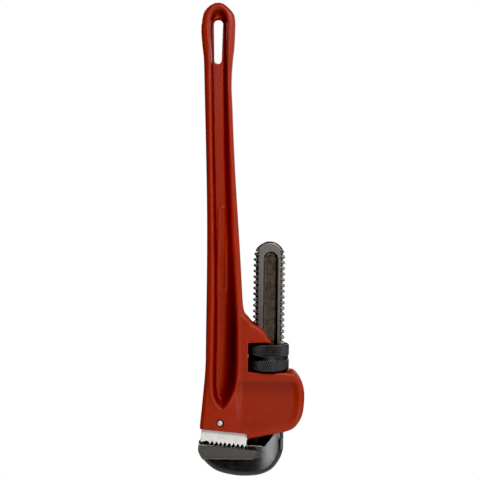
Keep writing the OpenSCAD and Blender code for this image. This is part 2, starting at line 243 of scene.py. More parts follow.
# Quads of a grid: each point with the next in its row and those two in the next row. Its
# columns close on themselves, and its rows do where asked.
def gridFaces(rows, columns, closeRows=False):
    i, j = np.meshgrid(np.arange(rows if closeRows else rows - 1), np.arange(columns), indexing="ij")
    i, j = i.ravel(), j.ravel()
    nextI, nextJ = (i + 1) % rows, (j + 1) % columns
    row, nextRow = i * columns, nextI * columns
    return np.column_stack([row + j, row + nextJ, nextRow + nextJ, nextRow + j])


# A socket's value, with Python's operators adding Math nodes
class Wire:
    def __init__(self, socket):
        self.socket = socket

    def math(self, operation, *values):
        tree = self.socket.id_data
        step = tree.nodes.new("ShaderNodeMath")
        step.operation = operation
        for slot, value in zip(step.inputs, values):
            connect(tree, value, slot)
        return Wire(step.outputs[0])

    def __add__(self, other):
        return self.math("ADD", self, other)

    def __radd__(self, other):
        return self.math("ADD", other, self)

    def __sub__(self, other):
        return self.math("SUBTRACT", self, other)

    def __rsub__(self, other):
        return self.math("SUBTRACT", other, self)

    def __mul__(self, other):
        return self.math("MULTIPLY", self, other)

    def __rmul__(self, other):
        return self.math("MULTIPLY", other, self)


# Links a wire to a socket, or sets the socket's own value
def connect(tree, value, slot):
    if isinstance(value, Wire):
        tree.links.new(value.socket, slot)
    elif slot.type == "RGBA":
        slot.default_value = (*value, 1.0)
    else:
        slot.default_value = value


# Any node comes from here. A socket is named by its words, or by _ and its number.
class Nodes:
    def __init__(self, tree):
        self.tree = tree

    def node(self, kind, settings=None, output=0, **values):
        step = self.tree.nodes.new(kind)
        for name, value in (settings or {}).items():
            setattr(step, name, value)
        for name, value in values.items():
            key = int(name[1:]) if name[0] == "_" else name.replace("_", " ")
            connect(self.tree, value, step.inputs[key])
        return Wire(step.outputs[output])


# One material, whose patterns are set out in metres on the object's own coordinates
class Finish(Nodes):
    def __init__(self, name):
        self.material = bpy.data.materials.new(name)
        self.material.use_nodes = True
        super().__init__(self.material.node_tree)
        self.surface = self.tree.nodes["Principled BSDF"]
        self.place = self.node("ShaderNodeTexCoord", output="Object")

    def noise(self, size, detail=3.0, roughness=0.55, place=None):
        return self.node("ShaderNodeTexNoise", output="Fac", Vector=place or self.place,
                         Scale=1 / size, Detail=detail, Roughness=roughness)

    def stretched(self, x=1.0, y=1.0, z=1.0):
        return self.node("ShaderNodeMapping", output="Vector", Vector=self.place, Scale=(x, y, z))

    def mix(self, share, first, second):
        return self.node("ShaderNodeMix", {"data_type": "RGBA"}, output=2, _0=share, _6=first, _7=second)

    def band(self, value, low, high):  # 0 below low, 1 above high
        return self.node("ShaderNodeMapRange", {"clamp": True}, Value=value, From_Min=low, From_Max=high)

    def attribute(self, name):
        return self.node("ShaderNodeAttribute", {"attribute_name": name}, output="Fac")

    def bump(self, height, depth, strength, under=None):
        extra = {"Normal": under} if under else {}
        return self.node("ShaderNodeBump", output="Normal", Height=height, Distance=depth,
                         Strength=strength, **extra)

    def finish(self, **sockets):
        for name, value in sockets.items():
            connect(self.tree, value, self.surface.inputs[name.replace("_", " ")])
        return self.material


# Colours, then the sizes of the patterns in metres
paint = {"red": (0.310, 0.0197, 0.0034), "deep": (0.250, 0.0141, 0.0023), "dirt": (0.035, 0.010, 0.006),
         "bare": (0.10, 0.085, 0.075), "shadeTone": (0.012, 0.0006, 0.0003), "coat": 0.04, "gloss": 0.23,
         "cloud": 0.03, "grime": 0.02, "wave": 0.012, "grain": 0.0028, "chip": 0.0022, "speck": 0.0013}


# Enamel over a sand casting: fine orange peel on slow waves, darker specks, bare metal in small
# chips on sharp edges, a little grime in the corners, and painted shade: darker enamel where the
# attribute "shade" marks where shade falls, in the hollow and under the housing's top band
def castPaint():
    f = Finish("castPaint")
    edge = f.attribute("edgeTurn")
    grain = f.noise(paint["grain"], 4, 0.6)
    tone = f.mix(f.band(f.noise(paint["cloud"], 3), 0.35, 0.7) * 0.5, paint["red"], paint["deep"])
    grime = (f.band(0 - edge, 0.5, 1.4) * f.band(f.noise(paint["grime"]), 0.3, 0.7)) * 0.35
    tone = f.mix(grime, tone, paint["dirt"])
    chips = f.band(edge, 0.9, 1.5) * f.band(f.noise(paint["chip"], 5, 0.7), 0.56, 0.66)
    tone = f.mix(chips, tone, paint["bare"])
    specks = f.band(f.noise(paint["speck"], 2, 0.7), 0.4, 0.66)
    tone = f.mix(specks * 0.38, tone, paint["dirt"])
    # painted shade: the enamel darkens as far as the attribute "shade" says
    tone = f.mix(f.attribute("shade"), tone, paint["shadeTone"])
    waves = f.bump(f.noise(paint["wave"], 3), 0.0006, 0.5)
    peel = f.bump(f.noise(paint["speck"], 3, 0.65), 0.00034, 0.8, waves)
    return f.finish(Base_Color=tone, Roughness=0.40 + grain * 0.16 + chips * 0.2, Normal=peel,
                    Coat_Weight=paint["coat"] - chips * paint["coat"], Coat_Roughness=0.2,
                    Specular_IOR_Level=paint["gloss"])


forged = {"black": (0.003, 0.0028, 0.0025), "scale": (0.009, 0.008, 0.007),
          "machined": (0.200, 0.182, 0.164), "groove": (0.070, 0.054, 0.040), "worn": (0.34, 0.32, 0.29),
          "mottle": 0.006, "brush": 0.0006, "stain": 0.004, "wear": 0.003, "pit": 0.0018}


# Black oxide on a drop forging, mottled with scale and worn bright on its edges, with brushed
# ground flats where the attribute "ground" is 1 and a stained groove where "hollow" is 1
def forgedBlack():
    f = Finish("forgedBlack")
    edge, ground, hollow = f.attribute("edgeTurn"), f.attribute("ground"), f.attribute("hollow")
    mottle = f.noise(forged["mottle"], 5, 0.65)
    oxide = f.mix(f.band(mottle, 0.35, 0.75), forged["black"], forged["scale"])
    brushed = f.noise(forged["brush"], 3, 0.6, f.stretched(z=0.05))
    flats = f.mix(f.band(brushed, 0.3, 0.7) * 0.35, forged["machined"], forged["scale"])
    tone = f.mix(ground, oxide, flats)
    tone = f.mix(hollow * f.band(f.noise(forged["stain"], 5, 0.7), 0.25, 0.55), tone, forged["groove"])
    worn = f.band(edge, 0.7, 1.6) * f.band(f.noise(forged["wear"], 4), 0.3, 0.55)
    tone = f.mix(worn * 0.7, tone, forged["worn"])
    tone = f.mix(f.band(0 - edge, 0.35, 1.0) * 0.85, tone, forged["black"])
    rough = 0.13 + mottle * 0.16 + ground * 0.26
    bump = f.bump(f.noise(forged["pit"], 4, 0.6), 0.00008, 0.5, f.bump(mottle, 0.00025, 0.3))
    return f.finish(Base_Color=tone, Roughness=rough, Metallic=ground * 0.6, Normal=bump)


oxide = {"black": (0.003, 0.003, 0.003), "wornHighlight": (0.042, 0.042, 0.041), "cloud": 0.003, "grain": 0.0012}


# Near-black oxide on a machined nut, brighter on the ridges: partly worn by hands, partly a painted highlight
def nutBlack():
    f = Finish("nutBlack")
    # the ridges' lighter tone is partly hand wear and partly a painted highlight
    tone = f.mix(f.band(f.attribute("edgeTurn"), 0.3, 1.2) * 0.7, oxide["black"], oxide["wornHighlight"])
    return f.finish(Base_Color=tone, Roughness=0.34 + f.noise(oxide["cloud"], 4) * 0.2,
                    Normal=f.bump(f.noise(oxide["grain"], 3), 0.0001, 0.5))


jawSteel = {"light": (0.68, 0.665, 0.635), "dull": (0.60, 0.585, 0.555), "metal": 0.15}
pinSteel = {"light": (0.55, 0.52, 0.48), "dull": (0.40, 0.38, 0.35), "metal": 0.6}
groundMarks = {"stain": (0.16, 0.13, 0.10), "scratch": 0.0007, "cloud": 0.009}


# Bare ground steel with fine scratches along its length, cloudy, and stained in its corners
def groundSteel(name, look):
    f = Finish(name)
    scratch = f.noise(groundMarks["scratch"], 4, 0.65, f.stretched(x=0.06))
    tone = f.mix(f.band(f.noise(groundMarks["cloud"], 4), 0.3, 0.75), look["light"], look["dull"])
    tone = f.mix(f.band(0 - f.attribute("edgeTurn"), 0.4, 1.4) * 0.5, tone, groundMarks["stain"])
    return f.finish(Base_Color=tone, Roughness=0.42 + scratch * 0.2, Metallic=look["metal"],
                    Normal=f.bump(scratch, 0.00006, 0.6))


tempered = {"blue": (0.17, 0.18, 0.20), "brown": (0.09, 0.085, 0.10),
            "heat": 0.008, "cloud": 0.002, "grain": 0.001}


# Hardened spring steel, with the slow clouds of colour that its heat leaves
def springSteel():
    f = Finish("springSteel")
    tone = f.mix(f.noise(tempered["heat"], 3), tempered["blue"], tempered["brown"])
    return f.finish(Base_Color=tone, Roughness=0.28 + f.noise(tempered["cloud"]) * 0.15, Metallic=1.0,
                    Normal=f.bump(f.noise(tempered["grain"]), 0.00004, 0.4))


# Puts a piece on its body in place of its CAD node, with its finish
def fit(piece, node, body, material):
    piece.data.materials.append(material)
    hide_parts(node)
    if body:
        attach(piece, body)
    print("piece", piece.name, len(piece.data.polygons), "faces")


# The bite, the tilted line where the jaws meet: a place is u along the teeth and v up from them
bite = {"reach": 29.4, "drop": 79.8, "tilt": math.radians(5), "heel": 14.3, "gap": 1.6,
        "pitch": 4.75, "teeth": 9, "firstTooth": -19.0, "toothHeight": 1.9, "lean": 0.7}
biteX, biteZ = -side - bite["reach"], -windowHalf - bite["drop"]
cosTilt, sinTilt = math.cos(bite["tilt"]), math.sin(bite["tilt"])


# The place of u and v: both turned by the tilt, and counted from the bite's middle
def bitePoint(u, v):
    return [biteX + u * cosTilt + v * sinTilt, biteZ + v * cosTilt - u * sinTilt]


def alongBite(x, z):  # the same turned back: u and v of a place
    return (x - biteX) * cosTilt - (z - biteZ) * sinTilt, (x - biteX) * sinTilt + (z - biteZ) * cosTilt


# Points of a row of teeth on the level v, with tips that lean along the bite
def toothRow(level, rise):
    steps = np.arange(bite["teeth"] * 2 + 1)
    u = bite["firstTooth"] + steps * bite["pitch"] / 2 + (steps % 2) * math.copysign(bite["lean"], -rise)
    return [bitePoint(a, level + (i % 2) * rise) for i, a in enumerate(u)]


# The casting
cast = {"edgeRound": 4.6, "bulgeRound": 5.4, "cutRound": 0.7, "slotRound": 0.5, "eyeRound": 1.2,
        "mouthRound": 0.6, "webHalf": 4.5, "eyeWide": 10.2, "eyeLong": 49.5, "eyeEnd": 17.0, "eyeTaper": 1.0,
        "endLength": 76.0, "faceHalf": 17.5, "lip": 4.9, "gap": 0.6, "shankHalf": 9.0, "nutRoom": 24.2,
        "windowLeft": 22.5, "forkDeep": 2.3, "springRoom": 16.0, "pinHole": 3.05, "pinDish": 4.1,
        "pinDishFloor": 14.5, "coilHole": 4.6, "coilDeep": 18.8}
tang = {"middle": -5.0, "half": 14.0, "top": 33.0, "thickHalf": 6.0, "room": 0.3}
lipX = -side - cast["gap"] - cast["lip"]
eyeTop = endZ - cast["eyeEnd"]


def ofHandle(points):  # a share of the handle's height, and a distance from the shank's side
    p = np.array(points)
    return np.column_stack([-side - p[:, 1], windowHalf + p[:, 0] * (endZ - windowHalf - cast["endLength"])])


def ofEnd(points):  # a distance from the shank's side, and a drop from the handle's end
    p = np.array(points)
    return np.column_stack([-side - p[:, 0], endZ - p[:, 1]])


def beside(points):  # a distance from the shank's side, and a height from the nut window's foot
    p = np.array(points)
    return np.column_stack([-side - p[:, 0], p[:, 1] - windowHalf])


outerEdge = np.vstack([
    ofEnd([[42.4, 0], [48.4, 1.1], [55.4, 6.4], [59.4, 13.4], [61.2, 28.4], [59.9, 46], [57.9, 62]]),
    ofHandle([[0.98, 57.1], [0.93, 56.6], [0.73, 54.4], [0.512, 52.4], [0.3, 51.5], [0, 51.4]]),
    beside([[51.6, 4], [53.8, -26], [56.6, -57]])])
innerEdge = np.vstack([
    ofEnd([[42.4, 0], [37.2, 1.2], [31.8, 5.2], [27.8, 9.4], [24.8, 14], [23.6, 21], [23.7, 30], [24.3, 46],
           [26.0, 64]]),
    ofHandle([[0.96, 26.9], [0.86, 25.4], [0.73, 23.4], [0.6, 21], [0.46, 17.9], [0.34, 15.3], [0.195, 12.4],
              [0.137, 11.1], [0.108, 9.2], [0.089, 4.4]])])
cheekEdge = np.array([[-side - 0.6, windowHalf + 21.7], [-side + 9.6, windowHalf + 16],
                      [side - 18.6, windowHalf + 6.5], [side - 15.1, windowHalf + 1.5]])
bulgeEdge = np.array([side, -windowHalf]) + np.array([
    [4, 1], [8.4, 1.2], [12.4, -0.5], [16.4, -5], [19.4, -10], [21.8, -19], [22.4, -28], [21.4, -41],
    [19.4, -49], [16.4, -55], [12.4, -60], [7.4, -63.4], [0.4, -65.7]])
windowEdge = [[side - 15.1, windowHalf - 3], [side - 15.1, 2 - windowHalf], [side + 2, 1.6 - windowHalf]]
footEdge = [[-side - 4.6, -windowHalf - 73.7], [lipX, -windowHalf - 72], [lipX, -windowHalf - 78],
            [-side - 57.3, -windowHalf - 74]]
planX, planZ = (-86, 46), (-104, endZ + 6)
castPlan = Plan(np.vstack([smoothCurve(outerEdge[::-1]), smoothCurve(innerEdge)[1:], smoothCurve(cheekEdge),
                           windowEdge, smoothCurve(bulgeEdge), footEdge]), planX, planZ)

# The hollow down the face: where its walls begin at the rim, and where they reach the web
rimTop = np.vstack([
    ofEnd([[42.4, 5.2], [47.4, 6.6], [51.2, 11.5], [53.0, 20], [53.2, 34], [51.6, 50]]),
    ofHandle([[0.98, 50.6], [0.864, 49.9], [0.696, 48.7], [0.528, 47.0], [0.36, 45.6], [0.193, 44.5],
              [0.05, 44.6]]),
    beside([[44.9, -10], [44.4, -21], [42.8, -29.5], [39.4, -36.5], [35.2, -40.4], [31.8, -40.2],
            [28.2, -36.8], [24.8, -31], [21.6, -24.2], [18.6, -17], [16.8, -6], [16.2, 8]]),
    ofHandle([[0.05, 16.6], [0.193, 18.9], [0.36, 22.2], [0.528, 24.9], [0.696, 27.2], [0.864, 29.4],
              [0.96, 30.8]]),
    ofEnd([[31.6, 50], [31.6, 34], [31.8, 20], [33.6, 11.5], [37.4, 6.6], [42.4, 5.2]])])
floorTop = np.vstack([
    ofEnd([[42.4, 15.5], [46.0, 17.2], [48.4, 22], [49.0, 34], [48.0, 50]]),
    ofHandle([[0.98, 46.4], [0.864, 45.2], [0.696, 43.7], [0.528, 41.9], [0.36, 40.8], [0.193, 39.8],
              [0.05, 38.6]]),
    beside([[38.9, -8], [38.3, -19], [37.4, -26.5], [36.4, -28.5], [35.6, -26], [34.6, -15], [32.6, 8]]),
    ofHandle([[0.05, 31.4], [0.193, 29.8], [0.36, 31.0], [0.528, 33.2], [0.696, 34.9], [0.864, 35.9],
              [0.96, 36.2]]),
    ofEnd([[36.0, 50], [35.8, 34], [36.4, 22], [38.8, 17.2], [42.4, 15.5]])])
hollowPlan = Plan(smoothCurve(rimTop), planX, planZ)
floorPlan = Plan(smoothCurve(floorTop), planX, planZ)

# Half the casting's thickness at each height
sideProfile = smoothCurve([[-140, 17.5], [-60, 17.5], [windowHalf + 16, 17.4], [windowHalf + 34, 16.4],
                           [windowHalf + 60, 14.6], [windowHalf + 110, 13.8], [endZ - 120, 13.2],
                           [endZ + 4, 12.6]])

# Right side of the shank's tunnel at each height: it opens out for the flat spring
tunnelRight = np.array([[-windowHalf - 90, 21.8], [-windowHalf - 61, 21.8],
                        [-windowHalf - 38, side + cast["springRoom"]],
                        [-windowHalf - 7, side + cast["springRoom"]], [-windowHalf - 6, side + 1.4]])

pad = {"left": 35.0, "up": 102.0, "length": 42.0, "radius": 5.2, "rise": 0.7, "sink": 0.5, "rim": 1.6}


# A blank raised pad on the web, a slot shape with soft edges: up by a step at its outline, and
# down by a smaller step inside its rim
def blankPad(x, z):
    up = np.abs(z - windowHalf - pad["up"])
    away = np.hypot(x + side + pad["left"], np.maximum(up - pad["length"], 0)) - pad["radius"]
    return pad["rise"] * ease(0.5 - away) - pad["sink"] * ease((-away - pad["rim"]) / 0.8)


face = {"rim": 0.45, "rimAt": 1.2, "rimWide": 1.6, "dish": 1.7, "dishTop": 8.4, "dishEnd": 70.0,
        "border": 4.5, "borderSoft": 8.0, "left": 19.0, "leftSoft": 9.0, "crease": 0.5, "creaseAt": 9.6,
        "creaseWide": 1.5, "flatWall": 0.64, "sweptHigh": 150.0}


# 1 in the housing's dish, falling to 0 at the casting's outline and towards the hollow
def inDish(x, plan):
    inside = ease((-plan - face["border"]) / face["borderSoft"])
    return inside * ease((x + side + face["left"]) / face["leftSoft"])


# Height of the front face above the middle plane: the casting's half thickness with a low ridge
# round the hollow, less a shallow dish in the housing and a crease at its top, less the hollow,
# whose walls run down from its rim to its floor by the share of the way between the two
def castFace(x, z, plan):
    half = np.interp(z, sideProfile[:, 0], sideProfile[:, 1]) * np.ones_like(x)
    under = -windowHalf - z
    dish = face["dish"] * ease((under - face["dishTop"]) / 4) * ease((face["dishEnd"] - under) / 50)
    dish = dish * inDish(x, plan)
    crease = face["crease"] * np.exp(-((under - face["creaseAt"]) / face["creaseWide"])**2)
    dish = dish + crease * ease((-plan - 4) / 4) * ease((x + side + 17) / 6)
    toRim, toFloor = -hollowPlan(x, z), floorPlan(x, z)
    share = toRim / np.maximum(toRim + toFloor, 1e-6)
    share = np.where(toRim <= 0, 0, np.where(toFloor <= 0, 1, share))
    high = face["sweptHigh"]
    sweep = ease((x + side + 38) / 6) * ease((high - z) / high)       # low on the right the wall flattens out
    nearWall = share / face["flatWall"]
    swept = 0.85 * (0.4 * np.minimum(nearWall, 1) + 0.6 * ease(nearWall)) + 0.15 * ease((share - 0.5) / 0.5)
    down = (1 - sweep) * (ease(share) + ease(ease(share))) / 2 + sweep * swept
    ridge = face["rim"] * np.exp(-((toRim + face["rimAt"]) / face["rimWide"])**2)
    return half - face["rim"] + ridge - dish - (half - cast["webHalf"]) * down + blankPad(x, z)


# The casting: its outline and its faces, with everything that is cut from it. The larger of two
# distances keeps what is inside both, and the larger of one and less the other cuts a hole.
def castShape(x, y, z):
    plan = castPlan(x, z)
    edge = cast["edgeRound"] + (cast["bulgeRound"] - cast["edgeRound"]) * ease((x - 5) / 15)
    f = roundMax(plan, np.abs(y) - castFace(x, z, plan), edge)
    headR, footR = cast["eyeWide"] / 2, cast["eyeWide"] / 2 - cast["eyeTaper"]    # the hanging slot's ends
    run = cast["eyeLong"] - headR - footR
    along = np.clip((eyeTop - headR - z) / run, 0, 1)
    eye = np.hypot(x - beamX, z - (eyeTop - headR) + along * run)
    f = roundMax(f, headR - along * cast["eyeTaper"] - eye, cast["eyeRound"])
    cut, slotRound, mouthRound = cast["cutRound"], cast["slotRound"], cast["mouthRound"]
    window = np.maximum(np.maximum(-cast["windowLeft"] - x, x - side - 3), np.abs(z) - windowHalf)
    f = roundMax(f, -window, cut)
    f = roundMax(f, -np.maximum(np.hypot(x, y) - cast["nutRoom"], np.abs(z) - windowHalf), cut)
    slotHalf = cast["shankHalf"] + cast["gap"]
    fork = np.maximum(np.maximum(-side - cast["forkDeep"] - x, np.abs(y) - slotHalf), windowHalf - 2 - z)
    f = roundMax(f, -fork, mouthRound)
    right = np.interp(z, tunnelRight[:, 0], tunnelRight[:, 1])
    tunnel = np.maximum(np.maximum(-side - cast["gap"] - x, x - right), np.maximum(np.abs(y) - slotHalf, z))
    f = roundMax(f, -tunnel, mouthRound)
    u, v = alongBite(x, z)
    f = roundMax(f, -np.maximum(v - bite["heel"] - 0.1, x - lipX), slotRound)     # the heel jaw's seat
    socket = np.maximum(np.abs(u - tang["middle"]) - tang["half"], v - tang["top"]) - tang["room"]
    f = roundMax(f, -np.maximum(socket, np.abs(y) - tang["thickHalf"] - 0.2), slotRound)
    pin = np.hypot(x - pinAt[0], z - pinAt[1])
    f = roundMax(f, -np.maximum(pin - cast["pinDish"], cast["pinDishFloor"] - np.abs(y)), slotRound)
    f = np.maximum(f, cast["pinHole"] - pin)
    hole = np.maximum(-side - cast["coilDeep"] - x, x)
    return np.maximum(f, -np.maximum(np.hypot(y, z - coilAt) - cast["coilHole"], hole))


# Height, distance of the hollow's right rim from the shank, and how much painted shade lies there
shadeRows = np.array([[-56, 27.6, 0.1], [-49, 24.4, 0.25], [-41.5, 21.4, 0.45], [-33.5, 18.6, 0.62],
                    [-22, 16.8, 0.7], [8, 16.3, 0.76], [31, 16.6, 0.7], [73, 18.9, 0.46], [123, 22.4, 0.0]])
shadeLeft, shadeUnder = 0.36, 0.34


# Share of painted shade, darker enamel where shade falls: against the right wall of the hollow,
# more so lower down, at the foot of the left wall, and under the housing's top band
def paintedShadeShare(x, z):
    fromRight = -side - np.interp(z, shadeRows[:, 0], shadeRows[:, 1]) - x
    right = np.interp(z, shadeRows[:, 0], shadeRows[:, 2])
    right = right * ease(fromRight / 3) * (1 - ease((fromRight - 7) / 14))
    inward = -hollowPlan(x, z)
    left = shadeLeft * ease((inward - 0.6) / 2) * (1 - ease((inward - 4.2) / 2.4)) * ease((-side - 33 - x) / 4)
    under = -windowHalf - z
    band = shadeUnder * ease((under - 8) / 4) * (1 - 0.65 * ease((under - 13) / 16))
    return np.where(inward > 0, np.maximum(right, left), band * inDish(x, castPlan(x, z)))


xs = np.arange(-80, 43.5, 1.0)
ys = np.arange(-19.05, 20, 1.0)
zs = np.concatenate([np.arange(-93.5, windowHalf + 34, 1.0), np.arange(windowHalf + 34, endZ - 72, 2.0),
                     np.arange(endZ - 72, endZ + 2.5, 1.25)])
points, faces = skin(castShape, xs, ys, zs)
casting = makePiece("castHandle", points, faces, 50, edgeSharpness(castShape, points, 1.8))
onFace = np.abs(points[:, 1]) > cast["webHalf"] - 1
# painted shade on the casting's faces, kept as the attribute "shade"
addAttribute(casting.data, "shade", paintedShadeShare(points[:, 0], points[:, 2]) * onFace)
fit(casting, "handle_housing", "handle", castPaint())


# The hook jaw on its threaded shank
hook = {"half": 13.0, "thin": 9.0, "edgeRound": 5.6, "sharpRound": 0.4, "flat": 12.0, "flatTop": -8.2,
        "flatRound": 7.5, "flatRise": 5.0, "crownRight": 3.2, "crownFoot": 0.2, "slopeX": 27.6, "slopeZ": 1.2,
        "slopeRun": 0.78, "slopeFall": 0.62, "slopeWide": 9.0}
shank = {"half": 9.0, "depth": 2.6, "pitch": 6.35, "crest": 1.3, "crestAt": 2.5, "steep": 1.35,
         "groove": 8.25, "grooveX": 1.2, "grooveDeep": 2.7, "grooveSlope": 3.2, "grooveEnd": 10.5,
         "grooveFoot": 26.0, "end": 16.9, "edgeRound": 0.6, "endRound": 2.8, "plain": 2.0}
plainZ = -windowHalf - shank["plain"]                 # below it the shank has no thread
throatX = lipX + 0.4
throatZ = bitePoint(24, -bite["gap"])[1]
upperTeeth = -bite["gap"] - bite["toothHeight"]
flank = (shank["pitch"] - 2 * shank["crest"]) / 2

hookBack = np.array([biteX, biteZ]) + np.array([
    [-29.2, -7], [-28, -11], [-23, -18.7], [-13, -27.5], [-3, -32], [12, -35], [26, -35.4], [40, -33.6],
    [side - 12.6 - biteX, -28.2], [side - 4.6 - biteX, -18.7], [side - 0.6 - biteX, -8.7], [side - biteX, 4]])
throat = [[throatX, throatZ + 4.5], [throatX, throatZ + 3], [throatX - 0.3, throatZ + 0.8],
          bitePoint(24.4, -bite["gap"] - 1)]
hookOutline = np.vstack([
    [bitePoint(24.4, -bite["gap"] - 3)], toothRow(upperTeeth, bite["toothHeight"])[::-1],
    [bitePoint(-27, -bite["gap"])], smoothCurve(np.vstack([[bitePoint(-28.8, -bite["gap"] - 2)], hookBack])),
    [[side, -windowHalf - 66], [side, -windowHalf - 40], [-side, -windowHalf - 40],
     [-side, -windowHalf - 74]], smoothCurve(throat)])
hookPlan = Plan(hookOutline, (-82, 26), (-138, -40), 0.3)


# Distance from the middle of the nearest crest, measured up the shank: the height over the
# first crest, less one pitch for each turn round the axis
def fromCrest(x, y, z):
    turns = (z - shank["crestAt"]) / shank["pitch"] - np.arctan2(y, x) / (2 * np.pi)
    return np.abs(turns - np.round(turns)) * shank["pitch"]


# Distance from the outline of the groove down the shank's face, negative in the groove
def grooveAway(x, z):
    low, high = plainZ - shank["grooveFoot"], shankTop - shank["grooveEnd"] - shank["groove"]
    return np.hypot(x - shank["grooveX"], z - np.clip(z, low, high)) - shank["groove"]


# Distance from the outline of the ground flat: a strip under the teeth with a round end
def flatAway(x, z):
    top, foot = biteZ + hook["flatRise"], biteZ + hook["flatTop"] - hook["flatRound"]
    strip = np.maximum(np.maximum(z - top, foot - z), x + side)
    return np.minimum(strip, np.hypot(x + side, z - biteZ - hook["flatTop"]) - hook["flatRound"])


# The hook: its outline, thin at the throat and thick beyond a slope, crowned to the right, with
# the flat ground from it. The shank: a screw, whose radius is the crest's less the depth by the
# way down the flank, plain at its foot, cut to two flat sides and a round end, with the groove.
def hookShape(x, y, z):
    climb = (x - side + hook["slopeX"]) * hook["slopeRun"] - (z - biteZ + hook["slopeZ"]) * hook["slopeFall"]
    thick = np.maximum(ease((climb + 3) / hook["slopeWide"]), ease((biteZ - 0.2 - z) / 1.2))
    half = hook["thin"] + (hook["half"] - hook["thin"]) * thick
    crown = hook["crownFoot"] * ease((-111 - z) / 24) + hook["crownRight"] * np.clip((x + 16) / 29, 0, 1)**2
    soft = np.maximum(ease((biteZ - 15.5 - z) / 4), ease((x - 2) / 8) * ease((-84 - z) / 6))
    edge = hook["sharpRound"] + (hook["edgeRound"] - hook["sharpRound"]) * soft
    body = roundMax(hookPlan(x, z), np.abs(y) - half + crown, edge)
    body = np.maximum(body, -np.maximum(flatAway(x, z), hook["flat"] - np.abs(y)))
    fall = np.clip((fromCrest(x, y, z) - shank["crest"] / 2) / flank, 0, 1)
    screw = (np.hypot(x, y) - side + shank["depth"] * ease(fall * 0.86 + 0.07)) / shank["steep"]
    threaded = ease((z - plainZ + 2) / 3)
    bar = screw * threaded + (np.abs(x) - side) * (1 - threaded)
    bar = roundMax(bar, np.abs(y) - shank["half"], shank["edgeRound"])
    end = np.hypot(x, np.maximum(z - shankTop + shank["end"], 0)) - shank["end"]
    end = np.where(z < shankTop - shank["end"], -50, end)
    bar = np.maximum(bar, roundMax(end, np.abs(y) - shank["half"], shank["endRound"]))
    bar = np.maximum(bar, biteZ - 6 - z)
    inGroove = ease(-grooveAway(x, z) / shank["grooveSlope"])
    groove = (np.abs(y) - shank["half"] + 0.02 + shank["grooveDeep"] * inGroove) * 0.8 - 9 * (inGroove <= 0)
    return np.maximum(np.minimum(body, bar), groove)


# The lattice is finest at the teeth, the throat and the threads
xs = np.concatenate([np.arange(-77.7, -22, 0.6), np.arange(-22, 19.5, 0.8)])
ys = np.arange(-13.65, 14, 0.9)
zs = np.concatenate([np.arange(-132.6, -104, 0.9), np.arange(-104, -93, 0.45),
                     np.arange(-93, plainZ - 4, 1.0), np.arange(plainZ - 4, shankTop + 1.2, 0.5)])
points, faces = skin(hookShape, xs, ys, zs)
hookJaw = makePiece("hookJawShank", points, faces, 40, edgeSharpness(hookShape, points, 1.2))
x, y, z = points.T
depth = np.abs(y)
underTeeth = alongBite(x, z)[1] < upperTeeth - 0.2
flat = (flatAway(x, z) < 0.3) & (depth > hook["flat"] - 1.5) & underTeeth
lands = (depth > shank["half"] - 0.25) & (z > -windowHalf - 70) & (depth < shank["half"] + 0.2)
brushed = lands * (0.5 + 0.5 * ease((z - 20) / 100)) * ease((13 - np.abs(x)) / 1.5)
hollow = (grooveAway(x, z) < -shank["grooveSlope"] * 0.55) & (depth < shank["half"] - 1)
addAttribute(hookJaw.data, "ground", np.maximum(flat * 0.44, brushed))
addAttribute(hookJaw.data, "hollow", hollow & (z > -windowHalf - 60))
fit(hookJaw, "hook_jaw", "hook_jaw", forgedBlack())


# The nut
nut = {"radius": 23.0, "teeth": 60, "knurl": 0.7, "slant": 2.5, "rim": 2.6, "rimDrop": 0.85, "gap": 0.4,
       "neck": 0.8, "upperKnurl": 2.0, "lowerKnurl": -2.4, "neckTop": 2.7, "neckFoot": -3.1,
       "diamondCut": 1.5, "slantCut": 1.3}            # a cut above 1 leaves small flats on the ridges


# A saw of height 0 to 1 with straight sides, rising and falling once for each unit of t
def zigzag(t):
    return 1 - np.abs(2 * (t - np.floor(t)) - 1)


# Radius of the nut's outside at a turn and a height: the radius, less a quarter round at the
# rims and the neck's dip, with a diamond knurl above the neck and a slanted one below it
def nutOutside(turn, z):
    down = np.clip((np.abs(z) - nutHalf + nut["rim"]) / nut["rim"], 0, 1)
    onBand = ease((1 - down) * 1.6)
    upper, lower = ease((z - nut["upperKnurl"]) / 0.8) * onBand, ease((nut["lowerKnurl"] - z) / 0.8) * onBand
    around, slide = nut["teeth"] * turn / (2 * np.pi), z / nut["slant"] / 2
    diamond = np.minimum(1, nut["diamondCut"] * np.minimum(zigzag(around + slide), zigzag(around - slide)))
    slanted = np.minimum(1, nut["slantCut"] * zigzag(around + slide))
    return (nut["radius"] - nut["rim"] * nut["rimDrop"] * (1 - np.sqrt(1 - np.minimum(down, 0.999)**2))
            - nut["neck"] * ease((z - nut["neckFoot"]) / 0.9) * ease((nut["neckTop"] - z) / 0.9)
            - nut["knurl"] * (upper * (1 - diamond) + lower * (1 - slanted)))


# Radius of its bore: the shank's thread opened by the clearance
def nutBore(turn, z):
    away = fromCrest(np.cos(turn) * side, np.sin(turn) * side, z)
    opened = 1 - np.clip((away - shank["crest"] / 2 - nut["gap"] * 0.7) / flank, 0, 1)
    return side - shank["depth"] + nut["gap"] + shank["depth"] * ease(opened)


